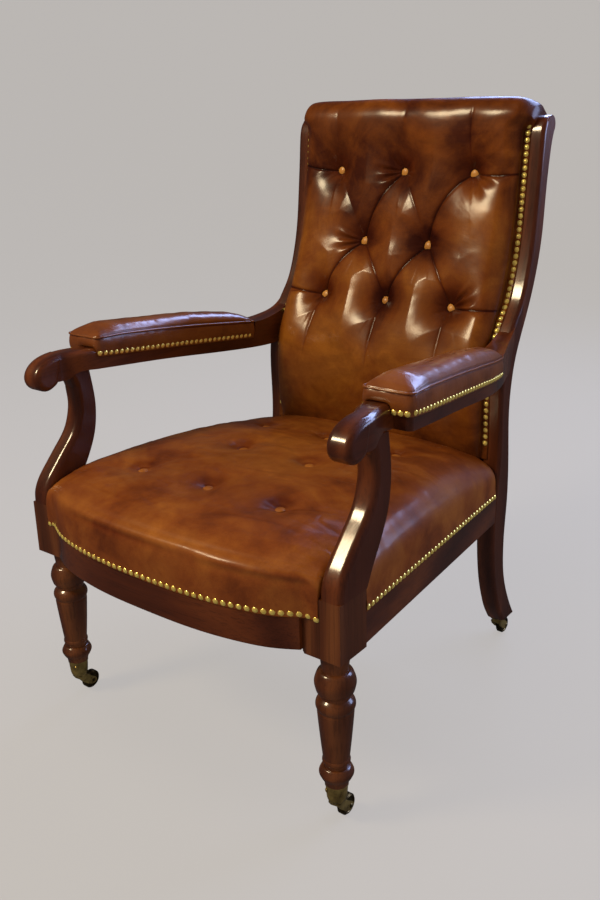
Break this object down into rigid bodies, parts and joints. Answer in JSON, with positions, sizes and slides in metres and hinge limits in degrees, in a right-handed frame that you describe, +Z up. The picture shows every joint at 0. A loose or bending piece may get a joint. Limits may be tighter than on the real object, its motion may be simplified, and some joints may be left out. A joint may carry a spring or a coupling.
{
  "type": "library armchair",
  "caption": "Deep-buttoned leather library armchair with scroll-over padded arms, bow-front seat, turned front legs and sabre back legs on swivelling castors.",
  "frame": {"origin": "on the floor, under the middle of the chair's plan box", "axes": "+Z up; the sitter faces -Y; +X is the sitter's left-hand side; the chair is symmetric about X = 0"},
  "size_m": [0.6822, 0.7778, 0.994],
  "materials": {
    "show_wood": "dark red-brown hardwood, French polished to a high gloss",
    "frame_wood": "plain unpolished hardwood, hidden in use",
    "seat_leather": "hand-coloured tobacco-brown hide, waxed, worn lighter on the crown",
    "back_leather": "hand-coloured tobacco-brown hide, glossy, mottled",
    "arm_leather": "hand-coloured brown hide, glossy",
    "button_leather": "lighter tan leather",
    "nail_brass": "polished domed heads",
    "castor_brass": "aged, dulled brass",
    "castor_wheel": "darkened brass wheel",
    "steel": "slotted wood screws",
    "webbing": "woven jute webbing",
    "canvas": "plain hessian"
  },
  "bodies": {
    "frame": {"arm_pad_left": "arm_leather", "arm_pad_right": "arm_leather", "arm_rail_left": "show_wood", "arm_rail_right": "show_wood", "arm_support_left": "show_wood", "arm_support_right": "show_wood", "back_buttons": "button_leather", "back_pad": "back_leather", "back_upright_left": "show_wood", "back_upright_right": "show_wood", "block_screws": "steel", "castor_cup_front_left": "castor_brass", "castor_cup_front_right": "castor_brass", "castor_plate_back_left": "castor_brass", "castor_plate_back_right": "castor_brass", "castor_screws": "castor_brass", "corner_blocks": "frame_wood", "crest_rail": "frame_wood", "frame_dowels": "frame_wood", "front_leg_left": "show_wood", "front_leg_right": "show_wood", "lower_back_rail": "frame_wood", "nails_arm_left": "nail_brass", "nails_arm_right": "nail_brass", "nails_back_left": "nail_brass", "nails_back_low_left": "nail_brass", "nails_back_low_right": "nail_brass", "nails_back_right": "nail_brass", "nails_outside_bottom": "nail_brass", "nails_outside_left": "nail_brass", "nails_outside_right": "nail_brass", "nails_outside_top": "nail_brass", "nails_seat_front_left": "nail_brass", "nails_seat_front_right": "nail_brass", "nails_seat_left": "nail_brass", "nails_seat_right": "nail_brass", "outside_back": "back_leather", "seat_border": "seat_leather", "seat_canvas": "canvas", "seat_pad": "seat_leather", "seat_rail_back": "frame_wood", "seat_rail_front": "show_wood", "seat_rail_left": "show_wood", "seat_rail_right": "show_wood", "seat_tufts": "button_leather", "seat_webbing_cross": "webbing", "seat_webbing_long": "webbing"},
    "castor_front_left": {"castor_fork_front_left": "castor_brass", "castor_axle_front_left": "castor_brass"},
    "wheel_front_left": {"castor_wheel_front_left": "castor_wheel"},
    "castor_front_right": {"castor_fork_front_right": "castor_brass", "castor_axle_front_right": "castor_brass"},
    "wheel_front_right": {"castor_wheel_front_right": "castor_wheel"},
    "castor_back_left": {"castor_fork_back_left": "castor_brass", "castor_axle_back_left": "castor_brass"},
    "wheel_back_left": {"castor_wheel_back_left": "castor_wheel"},
    "castor_back_right": {"castor_fork_back_right": "castor_brass", "castor_axle_back_right": "castor_brass"},
    "wheel_back_right": {"castor_wheel_back_right": "castor_wheel"}
  },
  "joints": [
    {"name": "swivel_front_left", "type": "hinge", "parent": "frame", "child": "castor_front_left", "pos_m": [-0.28, -0.30408, 0.035], "axis": [0, 0, 1], "continuous": true},
    {"name": "roll_front_left", "type": "hinge", "parent": "castor_front_left", "child": "wheel_front_left", "pos_m": [-0.28, -0.28208, 0.016], "axis": [1, 0, 0], "continuous": true},
    {"name": "swivel_front_right", "type": "hinge", "parent": "frame", "child": "castor_front_right", "pos_m": [0.28, -0.30408, 0.035], "axis": [0, 0, 1], "continuous": true},
    {"name": "roll_front_right", "type": "hinge", "parent": "castor_front_right", "child": "wheel_front_right", "pos_m": [0.28, -0.28208, 0.016], "axis": [1, 0, 0], "continuous": true},
    {"name": "swivel_back_left", "type": "hinge", "parent": "frame", "child": "castor_back_left", "pos_m": [-0.24, 0.28892, 0.035], "axis": [0, 0, 1], "continuous": true},
    {"name": "roll_back_left", "type": "hinge", "parent": "castor_back_left", "child": "wheel_back_left", "pos_m": [-0.24, 0.31092, 0.016], "axis": [1, 0, 0], "continuous": true},
    {"name": "swivel_back_right", "type": "hinge", "parent": "frame", "child": "castor_back_right", "pos_m": [0.24, 0.28892, 0.035], "axis": [0, 0, 1], "continuous": true},
    {"name": "roll_back_right", "type": "hinge", "parent": "castor_back_right", "child": "wheel_back_right", "pos_m": [0.24, 0.31092, 0.016], "axis": [1, 0, 0], "continuous": true}
  ]
}
